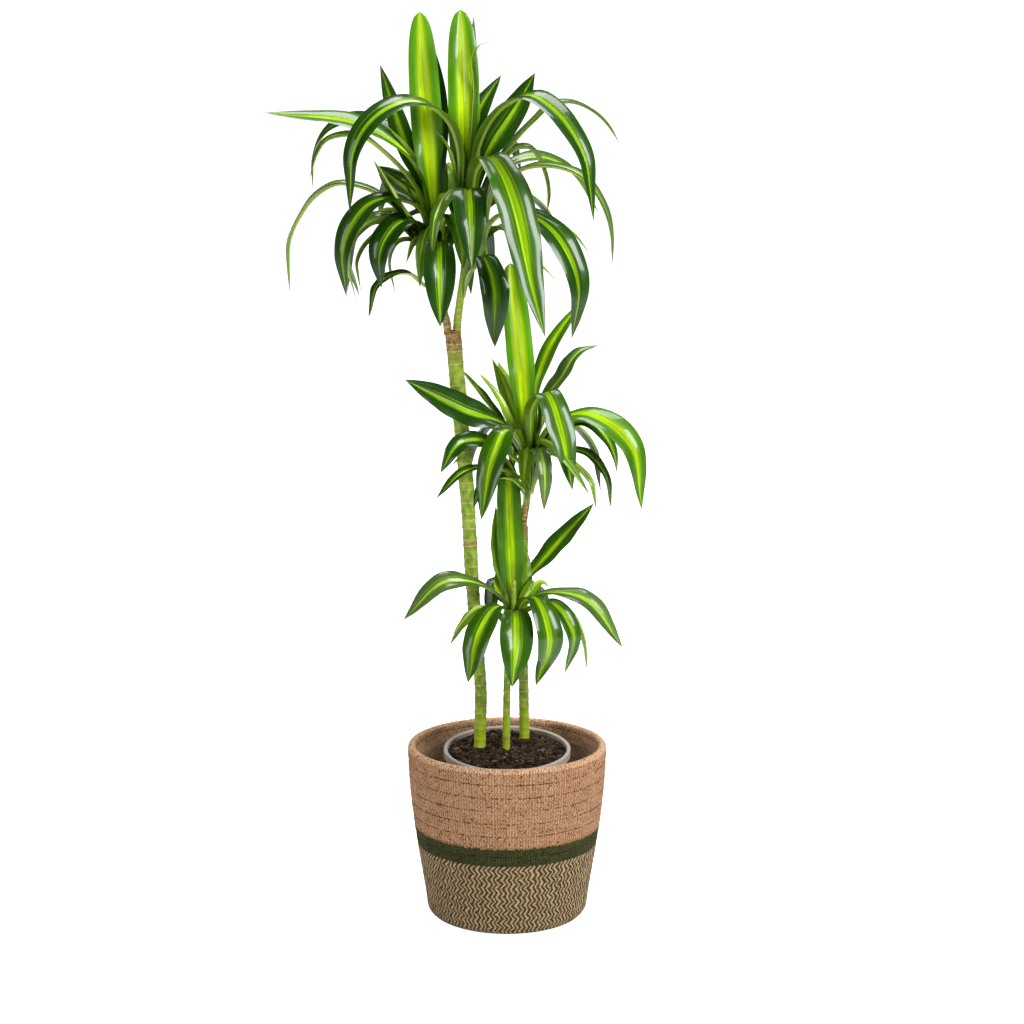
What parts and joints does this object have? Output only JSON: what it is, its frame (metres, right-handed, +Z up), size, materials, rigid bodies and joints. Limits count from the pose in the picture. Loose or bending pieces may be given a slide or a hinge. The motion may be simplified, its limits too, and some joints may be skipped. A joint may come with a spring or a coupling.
{
  "type": "potted corn plant",
  "caption": "Corn plant with slender bare canes and tufts of arching striped leaves, standing in a plastic grow pot inside a round stitched rope basket.",
  "frame": {"origin": "middle of the basket's flat foot, on the floor", "axes": "+Z up, +X to the right, the front faces -Y"},
  "size_m": [0.4789, 0.2649, 1.1901],
  "materials": {
    "basket_rope": "sewn paper rope in tan, dark green and a two-colour zigzag",
    "liner_film": "thin clear film, crinkled",
    "pot_plastic": "thin cloudy grey plastic",
    "bark_soil": "moist dark potting bark",
    "cane_bark": "green skin with tan ring scars",
    "green_shoot": "smooth young stem with leaf sheaths",
    "leaf_blade": "glossy green with a lime stripe"
  },
  "bodies": {
    "root": {"basket": "basket_rope", "basket_liner": "liner_film", "cane_mid": "cane_bark", "cane_short": "cane_bark", "cane_tall": "cane_bark", "grow_pot": "pot_plastic", "leaf_low_01": "leaf_blade", "leaf_low_02": "leaf_blade", "leaf_low_03": "leaf_blade", "leaf_low_04": "leaf_blade", "leaf_low_05": "leaf_blade", "leaf_low_06": "leaf_blade", "leaf_low_07": "leaf_blade", "leaf_low_08": "leaf_blade", "leaf_middle_01": "leaf_blade", "leaf_middle_02": "leaf_blade", "leaf_middle_03": "leaf_blade", "leaf_middle_04": "leaf_blade", "leaf_middle_05": "leaf_blade", "leaf_middle_06": "leaf_blade", "leaf_middle_07": "leaf_blade", "leaf_middle_08": "leaf_blade", "leaf_middle_09": "leaf_blade", "leaf_middle_10": "leaf_blade", "leaf_middle_11": "leaf_blade", "leaf_middle_12": "leaf_blade", "leaf_middle_13": "leaf_blade", "leaf_middle_14": "leaf_blade", "leaf_top_left_01": "leaf_blade", "leaf_top_left_02": "leaf_blade", "leaf_top_left_03": "leaf_blade", "leaf_top_left_04": "leaf_blade", "leaf_top_left_05": "leaf_blade", "leaf_top_left_06": "leaf_blade", "leaf_top_left_07": "leaf_blade", "leaf_top_left_08": "leaf_blade", "leaf_top_left_09": "leaf_blade", "leaf_top_left_10": "leaf_blade", "leaf_top_left_11": "leaf_blade", "leaf_top_left_12": "leaf_blade", "leaf_top_left_13": "leaf_blade", "leaf_top_right_01": "leaf_blade", "leaf_top_right_02": "leaf_blade", "leaf_top_right_03": "leaf_blade", "leaf_top_right_04": "leaf_blade", "leaf_top_right_05": "leaf_blade", "leaf_top_right_06": "leaf_blade", "leaf_top_right_07": "leaf_blade", "leaf_top_right_08": "leaf_blade", "leaf_top_right_09": "leaf_blade", "leaf_top_right_10": "leaf_blade", "leaf_top_right_11": "leaf_blade", "leaf_top_right_12": "leaf_blade", "leaf_top_right_13": "leaf_blade", "leaf_top_right_14": "leaf_blade", "shoot_low": "green_shoot", "shoot_middle": "green_shoot", "shoot_top_left": "green_shoot", "shoot_top_right": "green_shoot", "soil": "bark_soil"}
  },
  "joints": []
}
